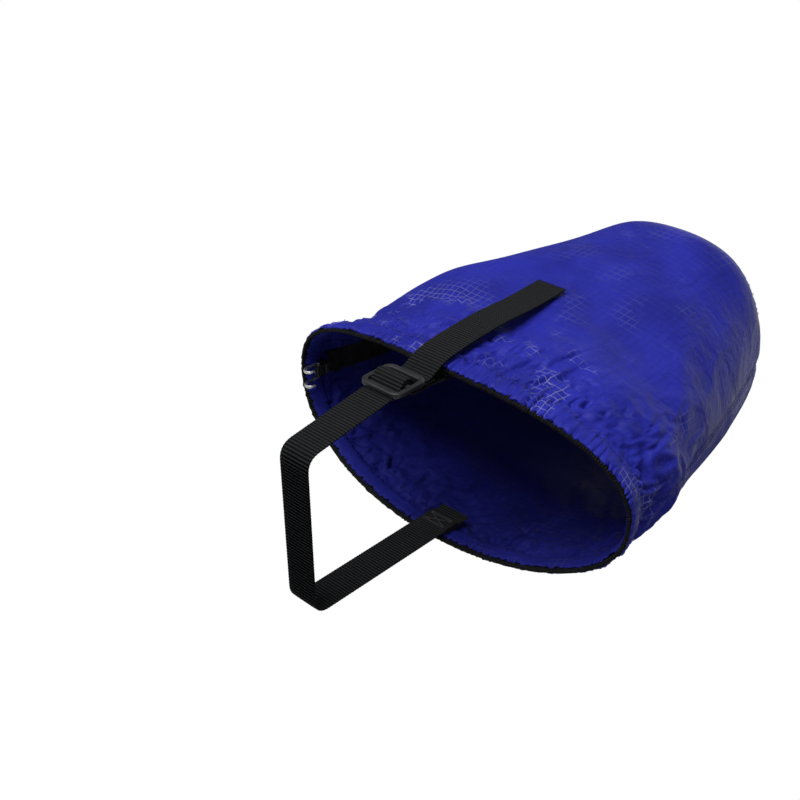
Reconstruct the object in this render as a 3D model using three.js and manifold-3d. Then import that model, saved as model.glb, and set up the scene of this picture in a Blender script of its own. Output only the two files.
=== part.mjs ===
// A low fabric gaiter for the left boot, as worn, without the boot.
// Millimetres. +X points to the toe, +Y to the buckle side, +Z up the leg.
// The origin is the middle of the strap's upper face, where the boot's arch rests on it.
import * as THREE from 'three';
import { mergeVertices } from 'three/addons/utils/BufferGeometryUtils.js';
import Module from 'manifold-3d';

const wasm = await Module();
wasm.setup();

// Shared
const gap = 0.3; // between pieces that touch
const roundness = 2.3; // power of the oval sections: 2 is an ellipse, more is squarer

// Wall: heights of the two edges, and the ovals between them
const hemSide = 79; // lower edge above the sole face, at the sides
const hemFrontRise = 13;
const hemRearRise = 13;
const topHeight = 262;
const hemLength = 192;
const hemWidth = 90;
const ankleLength = 170;
const ankleWidth = 97;
const legLength = 111;
const legWidth = 119;
const mouthLength = 76;
const mouthWidth = 80;
const panelThickness = 1.0;

// Edge casings and the elastic inside them
const casingHeight = 9;
const casingWall = 0.7;
const elasticThickness = 1.6;
const elasticDrop = 2; // how far the lower elastic shows below the casing
const elasticHeight = 8.3;
const tapeWidth = 12;
const tapeThickness = 0.5;
const tapeGap = 0.45; // room behind the panel, which turns in tightly at the shoulder

// Webbing, 16 mm
const webWidth = 16;
const webThickness = 1.2;
const soleHalf = 38.2; // where the strap turns up at each edge of the sole
const soleBend = 5;
const anchorHeight = 17;
const lapHeight = 9; // how far the webbing runs up inside the lower edge

// Slider
const sliderY = 46.4; // centre of the middle bar
const sliderZ = 54.6;
const sliderLength = 19; // along the strap
const sliderDepth = 2.4;
const sliderEnd = 2.8; // width of the upper and lower bars
const sliderSide = 2.4;
const sliderCorner = 3;
const slotSlack = 1.2; // slot wider than the webbing
const barRadius = 1.2;
const chamfer = 0.5;
const laceOver = 1; // how far the laced stretch runs past the slider
const webBreak = 1.6; // between two lengths of the webbing that move apart

// Loose end of the strap
const tailTop = 161;
const tailOverHem = 2; // above the lower edge, where the tail has cleared it

// Lace hook at the front
const wireRadius = 0.8;
const hookWidth = 8;
const hookDrop = 10;
const hookReach = 5;
const hookTabThickness = 0.8;
const hookAboveEdge = 3; // hook bar above the front edge

// Thread blocks
const tackThickness = 0.5;
const tackWidth = 13;

const blue = { color: 0x2a2aa8, roughness: 0.5, metalness: 0 };
const black = { color: 0x141416, roughness: 0.85, metalness: 0 };
const thread = { color: 0x1c1c22, roughness: 0.7, metalness: 0 };
const plastic = { color: 0x2a2b2e, roughness: 0.45, metalness: 0 };
const steel = { color: 0x9a9ca0, roughness: 0.3, metalness: 1 };

const wallHeight = topHeight - hemSide;
const mid = (a, b, t) => a + (b - a) * t;
const station = (share, centre, length, width) => ({ at: share * wallHeight, centre, length, width });
const sections = [
  station(0, 1, hemLength, hemWidth),
  station(0.075, 1, mid(hemLength, ankleLength, 0.25), hemWidth + 2),
  station(0.2, -2.2, mid(hemLength, ankleLength, 0.33), mid(hemWidth, ankleWidth, 0.6)),
  station(0.4, -2.5, ankleLength, ankleWidth),
  station(0.62, -7, mid(ankleLength, legLength, 0.45), mid(ankleWidth, legWidth, 0.6)),
  station(0.85, -12.6, legLength, legWidth),
  station(0.94, -13.5, mid(legLength, mouthLength, 0.38), mid(legWidth, mouthWidth, 0.38)),
  station(1, -14, mouthLength, mouthWidth),
];

// Smooth value of one field of the sections at a height on the wall
function smooth(field, height) {
  const last = sections.length - 2;
  let i = 0;
  while (i < last && height > sections[i + 1].at) i += 1;
  const slope = (k) => {
    const before = sections[Math.max(k - 1, 0)];
    const after = sections[Math.min(k + 1, sections.length - 1)];
    return (after[field] - before[field]) / (after.at - before.at);
  };
  const [low, high] = [sections[i], sections[i + 1]];
  const span = high.at - low.at;
  const t = (height - low.at) / span;
  const rise = high[field] - low[field];
  const p = slope(i) * span - rise;
  const q = rise - slope(i + 1) * span;
  return low[field] + t * rise + t * (1 - t) * ((1 - t) * p + t * q);
}

const power = (value) => Math.sign(value) * Math.abs(value) ** (2 / roundness);

// Point on the middle of the wall: turn 0 is the front, height is counted from the lower edge
function wallPoint(turn, height) {
  const forward = Math.cos(turn);
  const rise = forward > 0 ? hemFrontRise : hemRearRise;
  const edge = hemSide + rise * Math.abs(forward) ** 1.6;
  const x = smooth('centre', height) + smooth('length', height) / 2 * power(forward);
  const y = smooth('width', height) / 2 * power(Math.sin(turn));
  return new THREE.Vector3(x, y, edge + (topHeight - edge) * height / wallHeight);
}

// Point at a distance outside the middle of the wall
function offWall(turn, height, out) {
  const step = 0.01;
  const along = wallPoint(turn + step, height).sub(wallPoint(turn - step, height));
  const up = wallPoint(turn, height + step).sub(wallPoint(turn, height - step));
  const normal = along.cross(up).normalize();
  return wallPoint(turn, height).addScaledVector(normal, out);
}

// Turn, away from the front or rear seam, of a point that lies a distance to its side
function turnAside(aside, height) {
  const share = Math.abs(aside) / (smooth('width', height) / 2);
  return Math.sign(aside) * Math.asin(share ** (roundness / 2));
}

// Merged vertices, faces pointing out, and fresh normals
function clean(geometry) {
  geometry.deleteAttribute('uv');
  geometry.deleteAttribute('normal');
  const merged = mergeVertices(geometry, 1e-4);
  const index = Array.from(merged.index.array);
  const at = (i) => new THREE.Vector3().fromBufferAttribute(merged.attributes.position, i);
  const faces = [];
  let volume = 0;
  for (let i = 0; i < index.length; i += 3) {
    const [a, b, c] = index.slice(i, i + 3);
    if (a === b || b === c || c === a) continue;
    faces.push([a, b, c]);
    volume += at(a).dot(at(b).cross(at(c)));
  }
  merged.setIndex(faces.flatMap(([a, b, c]) => (volume > 0 ? [a, b, c] : [a, c, b])));
  merged.computeVertexNormals();
  return merged;
}

function solid(geometry) {
  const plain = clean(geometry);
  const vertProperties = new Float32Array(plain.attributes.position.array);
  const triVerts = new Uint32Array(plain.index.array);
  return new wasm.Manifold(new wasm.Mesh({ numProp: 3, vertProperties, triVerts }));
}

function fromSolid(body) {
  const mesh = body.getMesh();
  const geometry = new THREE.BufferGeometry();
  geometry.setAttribute('position', new THREE.BufferAttribute(mesh.vertProperties, 3));
  geometry.setIndex(Array.from(mesh.triVerts));
  return clean(geometry);
}

const group = new THREE.Group();

function add(name, geometry, look) {
  const mesh = new THREE.Mesh(geometry, new THREE.MeshStandardMaterial(look));
  mesh.name = name;
  group.add(mesh);
}

// Moves every vertex to where place(x, y, z) puts it
function warp(geometry, place) {
  const position = geometry.attributes.position;
  for (let i = 0; i < position.count; i += 1) {
    const moved = place(position.getX(i), position.getY(i), position.getZ(i));
    position.setXYZ(i, moved.x, moved.y, moved.z);
  }
  return clean(geometry);
}

// A closed outline of [out, height] points carried all round the wall
function ring(outline, segments) {
  const far = 100;
  const points = [...outline, outline[0]].map(([out, height]) => new THREE.Vector2(far + out, height));
  return warp(new THREE.LatheGeometry(points, segments), (x, y, z) => {
    return offWall(Math.atan2(x, z), y, Math.hypot(x, z) - far);
  });
}

const paneLow = casingHeight + gap;
const paneHigh = wallHeight - casingHeight - gap;
const paneSteps = 18;

// A layer of the wall between two faces, as wide as turnAt(share across, height) says
function layer(faceIn, faceOut, low, high, stepsAcross, turnAt) {
  const flat = new THREE.BoxGeometry(1, 1, 1, 1, paneSteps, stepsAcross).translate(0.5, 0.5, 0.5);
  return warp(flat, (out, up, across) => {
    const height = mid(low, high, up);
    return offWall(turnAt(across, height), height, mid(faceIn, faceOut, out));
  });
}

function panel(side) {
  const half = panelThickness / 2;
  return layer(-half, half, paneLow, paneHigh, 28, (across, height) => {
    const start = turnAside(gap / 2, height);
    return side * mid(Math.PI - start, start, across);
  });
}

function seamTape(seamTurn) {
  const face = -panelThickness / 2 - tapeGap;
  return layer(face - tapeThickness, face, paneLow + 1, paneHigh - 1, 4, (across, height) => {
    return seamTurn + turnAside(mid(tapeWidth / 2, -tapeWidth / 2, across), height);
  });
}

const casingOut = elasticThickness / 2 - 0.6 + gap + casingWall;
const casingIn = casingOut - elasticThickness - 2 * gap - 2 * casingWall;
const slotOut = casingOut - casingWall;
const slotIn = casingIn + casingWall;

// Lower casing: folded over the elastic and open along its lower edge
function lowerCasing() {
  const roof = casingHeight - casingWall;
  return ring([
    [casingOut, 0], [casingOut, casingHeight / 2], [casingOut, casingHeight],
    [casingIn, casingHeight], [casingIn, casingHeight / 2], [casingIn, 0],
    [slotIn, 0], [slotIn, roof], [slotOut, roof], [slotOut, 0],
  ], 72);
}

function lowerElastic() {
  const low = -elasticDrop;
  const high = elasticHeight - elasticDrop;
  return ring([[slotOut - gap, low], [slotOut - gap, high], [slotIn + gap, high], [slotIn + gap, low]], 72);
}

// Upper casing: open towards the leg
function upperCasing() {
  const low = wallHeight - casingHeight;
  return ring([
    [casingOut, low], [casingOut, wallHeight], [casingIn, wallHeight],
    [casingIn, wallHeight - casingWall], [slotOut, wallHeight - casingWall],
    [slotOut, low + casingWall], [casingIn, low + casingWall], [casingIn, low],
  ], 56);
}

function upperElastic() {
  const low = wallHeight - casingHeight + casingWall + gap;
  const high = wallHeight - casingWall - gap;
  const [out, inside] = [slotOut - gap, casingIn + gap];
  return ring([[out, low], [out, high], [inside, high], [inside, low]], 56);
}

// Rounds the corners of a line given as [x, y, radius] points
function rounded(corners) {
  const line = [];
  corners.forEach(([x, y, radius], i) => {
    const here = new THREE.Vector2(x, y);
    if (!radius) {
      line.push(here);
      return;
    }
    const back = new THREE.Vector2(...corners[i - 1]).sub(here).normalize();
    const on = new THREE.Vector2(...corners[i + 1]).sub(here).normalize();
    const half = Math.acos(THREE.MathUtils.clamp(back.dot(on), -1, 1)) / 2;
    const centre = here.clone().addScaledVector(back.clone().add(on).normalize(), radius / Math.sin(half));
    const from = here.clone().addScaledVector(back, radius / Math.tan(half)).sub(centre);
    const to = here.clone().addScaledVector(on, radius / Math.tan(half)).sub(centre);
    const swing = Math.atan2(from.cross(to), from.dot(to));
    for (let k = 0; k <= 5; k += 1) {
      line.push(from.clone().rotateAround(new THREE.Vector2(), swing * k / 5).add(centre));
    }
  });
  return line;
}

// The closed outline of a strip that follows a line
function strip(line, thickness) {
  const side = (sign) => line.map((point, i) => {
    const before = line[Math.max(i - 1, 0)];
    const after = line[Math.min(i + 1, line.length - 1)];
    const a = point.clone().sub(before);
    const b = after.clone().sub(point);
    const along = a.clone().normalize().add(b.clone().normalize()).normalize();
    const bend = a.lengthSq() && b.lengthSq() ? along.dot(b.normalize()) : 1;
    const normal = new THREE.Vector2(-along.y, along.x);
    return point.clone().addScaledVector(normal, sign * thickness / 2 / bend);
  });
  return new THREE.Shape([...side(1), ...side(-1).reverse()]);
}

const along = {
  side: new THREE.Matrix4().makeBasis( // line in the YZ plane, width along X
    new THREE.Vector3(0, 1, 0), new THREE.Vector3(0, 0, 1), new THREE.Vector3(1, 0, 0)),
  front: new THREE.Matrix4().makeBasis( // line in the XZ plane, width along Y
    new THREE.Vector3(1, 0, 0), new THREE.Vector3(0, 0, 1), new THREE.Vector3(0, -1, 0)),
};

function ribbon(line, thickness, width, plane) {
  const swept = new THREE.ExtrudeGeometry(strip(line, thickness), { depth: width, bevelEnabled: false });
  swept.translate(0, 0, -width / 2);
  return clean(swept.applyMatrix4(plane));
}

function block(x, y, z, centre) {
  return clean(new THREE.BoxGeometry(x, y, z).translate(...centre));
}

// Webbing routes. In the slider, u points out from its middle bar and v up the strap.
const besideFrame = -(sliderDepth / 2 + gap + webThickness / 2);
const laceRadius = barRadius + 2 * gap + 1.5 * webThickness - 0.05;
const loopRadius = barRadius + gap + webThickness / 2;
const laceEnd = sliderLength / 2 + laceOver;
const outerLeg = besideFrame - webThickness - gap;
const innerLeg = outerLeg - webThickness - gap;
const anchorY = hemWidth / 2 + casingIn - gap - webThickness / 2 - 0.2;
const lapY = anchorY - webThickness - gap;
const lapTop = hemSide + lapHeight;

const slotEdge = sliderLength / 2 - sliderEnd;

// Points on a circle about the middle bar, between two angles in radians
function arc(radius, from, to, steps) {
  return Array.from({ length: steps + 1 }, (_, i) => {
    const angle = mid(from, to, i / steps);
    return new THREE.Vector2(radius * Math.cos(angle), radius * Math.sin(angle));
  });
}

// Angle where a line from (u, v) touches a circle about the middle bar
function touch(u, v, radius, sign) {
  return Math.atan2(v, u) + sign * Math.acos(radius / Math.hypot(u, v));
}

const inSlider = (line) => line.map((point) => point.clone().add(new THREE.Vector2(sliderY, sliderZ)));

function laceLine() {
  const turnIn = slotEdge - 0.1;
  const start = touch(besideFrame, -turnIn, laceRadius, 1);
  return inSlider([
    new THREE.Vector2(besideFrame, -laceEnd),
    new THREE.Vector2(besideFrame, -turnIn),
    ...arc(laceRadius, start, -start, 8),
    new THREE.Vector2(besideFrame, turnIn),
    new THREE.Vector2(besideFrame, laceEnd),
  ]);
}

function tabLine() {
  const inner = new THREE.Vector2(innerLeg, 4);
  const outer = new THREE.Vector2(outerLeg, 5);
  const start = touch(inner.x, inner.y, loopRadius, 1);
  const end = touch(outer.x, outer.y, loopRadius, -1) + 2 * Math.PI;
  const loop = inSlider([inner, ...arc(loopRadius, start, end, 12), outer, new THREE.Vector2(outerLeg, 17)]);
  return [
    new THREE.Vector2(lapY, lapTop),
    new THREE.Vector2(lapY, hemSide - 1),
    new THREE.Vector2(sliderY + innerLeg, hemSide - 10),
    ...loop,
  ];
}

function instepLine() {
  const low = -webThickness / 2;
  return rounded([
    [-lapY, lapTop], [-lapY, hemSide, 30], [-soleHalf, low, soleBend], [soleHalf, low, soleBend],
    [sliderY + besideFrame, sliderZ - laceEnd - 1],
  ]);
}

// Where a layer of webbing lies on the buckle side of the shell, at a height above the sole face
const onShell = (z, lift) => new THREE.Vector2(
  smooth('width', z - hemSide) / 2 + panelThickness / 2 + gap + webThickness / 2 + lift, z);

function tailLine() {
  const start = sliderZ + laceEnd + webBreak;
  const root = sliderY + besideFrame;
  const overHem = hemWidth / 2 + casingOut + gap + webThickness / 2 + 2.4;
  return new THREE.SplineCurve([
    new THREE.Vector2(root, start), new THREE.Vector2(root + 0.3, start + 2.5),
    new THREE.Vector2(overHem, hemSide + tailOverHem),
    onShell(mid(hemSide, tailTop, 0.4), 3.6), onShell(mid(hemSide, tailTop, 0.72), 2.4),
    onShell(tailTop, 1),
  ]).getPoints(24);
}

function slider() {
  const slot = webWidth + slotSlack;
  const halfX = slot / 2 + sliderSide - chamfer;
  const halfZ = sliderLength / 2 - chamfer;
  const radius = sliderCorner - chamfer;
  const outline = new THREE.Shape();
  outline.absarc(halfX - radius, halfZ - radius, radius, 0, Math.PI / 2);
  outline.absarc(radius - halfX, halfZ - radius, radius, Math.PI / 2, Math.PI);
  outline.absarc(radius - halfX, radius - halfZ, radius, Math.PI, 1.5 * Math.PI);
  outline.absarc(halfX - radius, radius - halfZ, radius, 1.5 * Math.PI, 2 * Math.PI);
  const [holeX, holeZ] = [slot / 2 + chamfer, slotEdge + chamfer];
  outline.holes.push(new THREE.Path([
    new THREE.Vector2(-holeX, -holeZ), new THREE.Vector2(-holeX, holeZ),
    new THREE.Vector2(holeX, holeZ), new THREE.Vector2(holeX, -holeZ),
  ]));
  const bevel = { bevelThickness: chamfer, bevelSize: chamfer, bevelSegments: 1, curveSegments: 5 };
  const frame = new THREE.ExtrudeGeometry(outline, { depth: sliderDepth - 2 * chamfer, ...bevel });
  frame.translate(0, 0, chamfer - sliderDepth / 2);
  const bar = new THREE.CylinderGeometry(barRadius, barRadius, slot + 2, 16).rotateZ(Math.PI / 2);
  const body = fromSolid(solid(frame).add(solid(bar)));
  return clean(body.rotateX(Math.PI / 2).translate(0, sliderY, sliderZ));
}

// Lace hook: one bent wire with two prongs, hanging in a loop of tape
const hookLoop = wireRadius + gap + hookTabThickness / 2;
const hookFace = smooth('centre', casingHeight) + smooth('length', casingHeight) / 2 + casingIn;
const hookX = hookFace - gap - hookTabThickness / 2 - hookLoop - 0.2;
const hookZ = hemSide + hemFrontRise + hookAboveEdge;
const tabTop = hemSide + hemFrontRise + casingHeight + 1;

function laceHook() {
  const prong = (side) => [
    [-hookReach, side, 3 - hookDrop], [-0.8 * hookReach, side, -0.93 * hookDrop],
    [-0.4 * hookReach, side, -hookDrop], [-0.07 * hookReach, side, -0.9 * hookDrop],
    [0, side, 3 - hookDrop], [0, side, -1.2], [0, side * 0.9, -0.3], [0, side * 0.72, 0],
  ];
  const points = [...prong(hookWidth / 2), ...prong(-hookWidth / 2).reverse()];
  const vectors = points.map(([x, y, z]) => new THREE.Vector3(hookX + x, y, hookZ + z));
  const section = new THREE.Shape();
  section.absarc(0, 0, wireRadius, 0, 2 * Math.PI);
  return clean(new THREE.ExtrudeGeometry(section, {
    extrudePath: new THREE.CatmullRomCurve3(vectors), steps: 44, curveSegments: 4, bevelEnabled: false,
  }));
}

function hookTab() {
  const bend = arc(hookLoop, 0, -Math.PI, 8).map((point) => point.add(new THREE.Vector2(hookX, hookZ)));
  const end = (side) => new THREE.Vector2(hookX + side * hookLoop, tabTop);
  const line = [end(1), ...bend, end(-1)];
  return ribbon(line, hookTabThickness, hookWidth - 2 * wireRadius - 2 * gap, along.front);
}

function straightWeb(y, low, high) {
  return ribbon([new THREE.Vector2(y, low), new THREE.Vector2(y, high)], webThickness, webWidth, along.side);
}

// Thread block on the leg side of a webbing end
function tack(y, z, height) {
  const inside = Math.abs(y) - webThickness / 2 - gap - tackThickness / 2;
  return block(tackWidth, tackThickness, height, [0, Math.sign(y) * inside, z]);
}

add('left_panel', panel(1), blue);
add('right_panel', panel(-1), blue);
add('front_seam_tape', seamTape(0), black);
add('rear_seam_tape', seamTape(Math.PI), black);
add('bottom_hem_casing', lowerCasing(), blue);
add('bottom_elastic', lowerElastic(), black);
add('top_hem_casing', upperCasing(), blue);
add('top_elastic', upperElastic(), black);
add('left_strap_anchor', straightWeb(anchorY, hemSide, hemSide + anchorHeight), black);
add('right_strap_anchor', straightWeb(-anchorY, hemSide, hemSide + anchorHeight), black);
add('left_bar_tack', tack(lapY, lapTop - 5, 6), thread);
add('right_bar_tack', tack(-lapY, lapTop - 5, 6), thread);
add('instep_strap', ribbon(instepLine(), webThickness, webWidth, along.side), black);
add('slider_tab', ribbon(tabLine(), webThickness, webWidth, along.side), black);
add('tab_stitch', tack(sliderY + innerLeg, sliderZ + 12.5, 2.4), thread);
add('tri_glide_slider', slider(), plastic);
add('strap_lacing', ribbon(laceLine(), webThickness, webWidth, along.side), black);
add('strap_tail', ribbon(tailLine(), webThickness, webWidth, along.side), black);
add('hook_tab', hookTab(), black);
add('hook_bar_tack', block(tackThickness, hookWidth - 3, 3,
  [hookX - hookLoop - hookTabThickness / 2 - gap - tackThickness / 2, 0, tabTop - 3]), thread);
add('lace_hook', laceHook(), steel);

export default group;
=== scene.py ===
"""Looks for a low ripstop gaiter: gathered cloth, elastics, webbing, slider, stitching and lace hook."""

import math

import bmesh
import bpy
import numpy as np
from bpy.props import FloatProperty, FloatVectorProperty, IntProperty, PointerProperty
from mathutils import Matrix, Vector, noise


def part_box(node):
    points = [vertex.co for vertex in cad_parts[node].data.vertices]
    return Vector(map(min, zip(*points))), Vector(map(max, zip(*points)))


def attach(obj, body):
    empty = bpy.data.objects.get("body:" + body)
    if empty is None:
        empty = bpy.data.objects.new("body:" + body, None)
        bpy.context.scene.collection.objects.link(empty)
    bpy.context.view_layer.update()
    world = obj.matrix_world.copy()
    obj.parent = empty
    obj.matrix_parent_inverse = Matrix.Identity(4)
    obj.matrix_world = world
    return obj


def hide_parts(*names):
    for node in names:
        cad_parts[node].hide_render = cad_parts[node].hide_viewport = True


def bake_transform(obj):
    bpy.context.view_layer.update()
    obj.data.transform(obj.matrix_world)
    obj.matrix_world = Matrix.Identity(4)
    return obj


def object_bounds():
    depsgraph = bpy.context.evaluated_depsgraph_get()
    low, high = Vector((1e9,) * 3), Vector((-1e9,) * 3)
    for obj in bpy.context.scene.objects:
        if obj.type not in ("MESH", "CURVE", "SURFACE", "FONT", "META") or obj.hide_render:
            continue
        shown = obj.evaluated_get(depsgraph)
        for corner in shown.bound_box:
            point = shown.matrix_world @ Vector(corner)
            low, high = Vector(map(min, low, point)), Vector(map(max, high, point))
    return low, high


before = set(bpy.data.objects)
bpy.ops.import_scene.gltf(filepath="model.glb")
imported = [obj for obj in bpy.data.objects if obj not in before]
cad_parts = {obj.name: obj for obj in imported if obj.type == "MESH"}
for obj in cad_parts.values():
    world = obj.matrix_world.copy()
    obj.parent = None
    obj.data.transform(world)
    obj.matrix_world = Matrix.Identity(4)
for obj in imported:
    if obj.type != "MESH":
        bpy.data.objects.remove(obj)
cad_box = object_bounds()

bl_info = {
    "name": "Ripstop gaiter",
    "version": (1, 0, 0),
    "blender": (4, 5, 0),
    "location": "View3D > Sidebar > Gaiter",
    "description": "Builds the cloth, webbing, hardware and stage of a low hiking gaiter",
    "category": "Object",
}

MM = 0.001

# Shell, in millimetres: 0 height on the wall is the lower edge, and turn 0 is the front
ROUNDNESS = 2.3
HEM_SIDE = 79.0
FRONT_RISE = 13.0
REAR_RISE = 13.0
TOP_HEIGHT = 262.0
WALL_HEIGHT = TOP_HEIGHT - HEM_SIDE
CASING_HEIGHT = 9.0
HEM_SWELL = 1.2
# share of the wall's height, centre along X, length and width of the oval there
STATIONS = (
    (0.0, 1.0, 192.0, 90.0),
    (0.075, 1.0, 186.5, 92.0),
    (0.2, -2.2, 184.74, 94.2),
    (0.4, -2.5, 170.0, 97.0),
    (0.62, -7.0, 143.45, 110.2),
    (0.85, -12.6, 111.0, 119.0),
    (0.94, -13.5, 97.7, 104.18),
    (1.0, -14.0, 76.0, 80.0),
)

# Sewing
TAPE_WIDTH = 12.0
STITCH_STEP = 2.6
CASING_SEAM = 8.6

# Webbing and slider
WEB_WIDTH = 16.0
WEB_THICKNESS = 1.2
SOLE_HALF = 38.2
SOLE_BEND = 5.0
SLIDER_Y = 46.4
SLIDER_Z = 54.6
SLIDER_LENGTH = 19.0
SLIDER_WIDTH = 22.0
SLIDER_DEPTH = 2.4
SLIDER_END = 2.8
SLIDER_SIDE = 2.4
BAR_RADIUS = 1.2
GAP = 0.3
LAP_Y = 40.0
LAP_TOP = 88.0
TAIL_TOP = 161.0
ANCHOR_Y = 41.5
ANCHOR_TOP = 95.7

# Lace hook
HOOK_Z = 95.0
HOOK_WIRE = 0.8
HOOK_TAB_WIDTH = 5.8
HOOK_TAB_THICKNESS = 0.8


# ---------------------------------------------------------------- shell surface


def station_table():
    """Centre, half length and half width at every tenth of a millimetre of the wall's height."""
    rows = np.array(STATIONS)
    at = rows[:, 0] * WALL_HEIGHT
    heights = np.arange(-5.0, WALL_HEIGHT + 5.0, 0.1)
    span = np.clip(np.searchsorted(at, heights, side="right") - 1, 0, len(at) - 2)
    columns = []
    for column in (1, 2, 3):
        value = rows[:, column]
        slope = np.gradient(value, at)
        slope[1:-1] = (value[2:] - value[:-2]) / (at[2:] - at[:-2])
        low, high = value[span], value[span + 1]
        length = at[span + 1] - at[span]
        t = (heights - at[span]) / length
        rise = high - low
        p = slope[span] * length - rise
        q = rise - slope[span + 1] * length
        columns.append(low + t * rise + t * (1 - t) * ((1 - t) * p + t * q))
    return heights, columns[0], columns[1] / 2, columns[2] / 2


HEIGHTS, CENTRES, HALF_LENGTHS, HALF_WIDTHS = station_table()


def power(value):
    return np.sign(value) * np.abs(value) ** (2 / ROUNDNESS)


def wall_point(turn, height):
    """Middle of the wall, in millimetres, for arrays of turns and heights."""
    forward = np.cos(turn)
    rise = np.where(forward > 0, FRONT_RISE, REAR_RISE)
    edge = HEM_SIDE + rise * np.abs(forward) ** 1.6
    centre = np.interp(height, HEIGHTS, CENTRES)
    x = centre + np.interp(height, HEIGHTS, HALF_LENGTHS) * power(forward)
    y = np.interp(height, HEIGHTS, HALF_WIDTHS) * power(np.sin(turn))
    z = edge + (TOP_HEIGHT - edge) * height / WALL_HEIGHT
    return np.stack([x, y, z], axis=-1)


def wall_normal(turn, height):
    step = 0.02
    around = wall_point(turn + step, height) - wall_point(turn - step, height)
    up = wall_point(turn, height + 0.5) - wall_point(turn, height - 0.5)
    normal = np.cross(around, up)
    return normal / np.linalg.norm(normal, axis=-1, keepdims=True)


def run_of(points):
    """Distance run along a line of points, from 0."""
    return np.concatenate([[0], np.cumsum(np.linalg.norm(np.diff(points, axis=0), axis=-1))])


def even_turns(count):
    """Turns that share the lower edge's length evenly, one more than count, closing on the first."""
    fine = np.linspace(0, 2 * math.pi, 4001)
    line = wall_point(fine, np.full_like(fine, 5.0))
    run = run_of(line)
    return np.interp(np.linspace(0, run[-1], count + 1), run, fine)


def hum(x, y, z, seed):
    return noise.noise(Vector((x + seed * 17.3, y - seed * 5.1, z + seed * 9.7)))


def puckers(count, heights, crests, seed, drift=7.0):
    """Uneven gathers on heights by count + 1 places round: full crests, sharp valleys, about -1 to 1."""
    around = np.linspace(0, 2 * math.pi, count + 1)
    waves = np.zeros((len(heights), count + 1))
    for i, height in enumerate(heights):
        for j, angle in enumerate(around[:-1]):
            x, y = math.cos(angle), math.sin(angle)
            shift = hum(3.1 * x, 3.1 * y, height / 22, seed)
            shift += 0.5 * hum(13 * x, 13 * y, height / 12, seed + 1)
            depth = hum(9 * x, 9 * y, height / 11, seed + 2)
            swing = abs(math.sin(0.5 * crests * angle + drift * shift))
            waves[i, j] = (2 * swing ** 0.75 - 1.1) * (0.75 + 1.4 * depth)
    waves[:, -1] = waves[:, 0]
    return waves


def fade(height, start, end):
    """1 up to start, 0 from end, smooth between."""
    t = np.clip((height - start) / (end - start), 0, 1)
    return 1 - t * t * (3 - 2 * t)


def gathers(count, heights, cloth):
    """How far the gathered cloth stands off the wall; its folds double in pitch with height."""
    column = np.array(heights, float)[:, None]
    down = WALL_HEIGHT - column
    low = 0.42 * puckers(count, heights, cloth.ruffles, 21) * fade(column, 7, 15)
    low += 0.75 * puckers(count, heights, cloth.ruffles // 2, 31) * fade(column, 10, 26)
    low += (1.2 * puckers(count, heights, cloth.ruffles // 4, 41)
            * (1 - fade(column, 0, 12)) * fade(column, 18, 40))
    low += 1.4 * puckers(count, heights, 15, 51, 5.0) * (1 - fade(column, 4, 20)) * fade(column, 30, 62)
    low *= 1 - 0.4 * around_lobe(even_turns(count), 170, 0.7)
    top = 0.22 * puckers(count, heights, cloth.top_ruffles, 61) * fade(down, 8, 14)
    top += 0.4 * puckers(count, heights, cloth.top_ruffles // 3, 71) * fade(down, 10, 22)
    return low + top


def around_lobe(turn, degrees, width):
    away = np.abs(np.angle(np.exp(1j * (turn - math.radians(degrees)))))
    return np.exp(-(away / width) ** 2)


def billow(turn, height):
    """How the cloth fills out or falls in over wide areas, in millimetres outwards."""
    front_low = -6.0 * around_lobe(turn, 38, 0.42) * np.exp(-((height - 23) / 13) ** 2)
    front_high = 4.2 * around_lobe(turn, 44, 0.5) * np.exp(-((height - 76) / 27) ** 2)
    shoulder = 3.2 * around_lobe(turn, 122, 0.8) * np.exp(-((height - 158) / 13) ** 2)
    rear = -1.8 * around_lobe(turn, 200, 0.6) * np.exp(-((height - 50) / 45) ** 2)
    return front_low + front_high + shoulder + rear


# ---------------------------------------------------------------- meshes


def new_object(name, bm, body, *materials):
    """Makes the object from a bmesh, shades it smooth and makes it ride on a body."""
    mesh = bpy.data.meshes.new(name)
    bm.to_mesh(mesh)
    bm.free()
    mesh.polygons.foreach_set("use_smooth", [True] * len(mesh.polygons))
    for material in materials:
        mesh.materials.append(material)
    piece = bpy.data.objects.new(name, mesh)
    bpy.context.scene.collection.objects.link(piece)
    if body:
        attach(piece, body)
    return piece


def net(points, uv=None, cap=False, closed=False):
    """A bmesh through a grid of points in millimetres; edges that meet are joined."""
    rows, columns = points.shape[0] - 1, points.shape[1] - 1
    bm = bmesh.new()
    layer = bm.loops.layers.uv.new("cloth")
    spot = bm.verts.layers.int.new("spot")
    bmesh.ops.create_grid(bm, x_segments=columns, y_segments=rows, size=1.0, calc_uvs=True)
    place = {}
    for vert in bm.verts:
        i = round((vert.co.y + 1) / 2 * rows)
        j = round((vert.co.x + 1) / 2 * columns)
        place[vert] = (i, j)
    if uv is not None:
        for face in bm.faces:
            for loop in face.loops:
                loop[layer].uv = uv[place[loop.vert]] * MM
    for vert, at in place.items():
        vert.co = points[at] * MM
        vert[spot] = at[0] * (columns + 1) + at[1] % columns if closed else at[0] * (columns + 1) + at[1]
    bmesh.ops.remove_doubles(bm, verts=bm.verts, dist=2e-6)
    if cap:
        edges = [edge for edge in bm.edges if edge.is_boundary]
        bmesh.ops.holes_fill(bm, edges=edges, sides=0)
    bmesh.ops.recalc_face_normals(bm, faces=bm.faces)
    return bm


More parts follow.
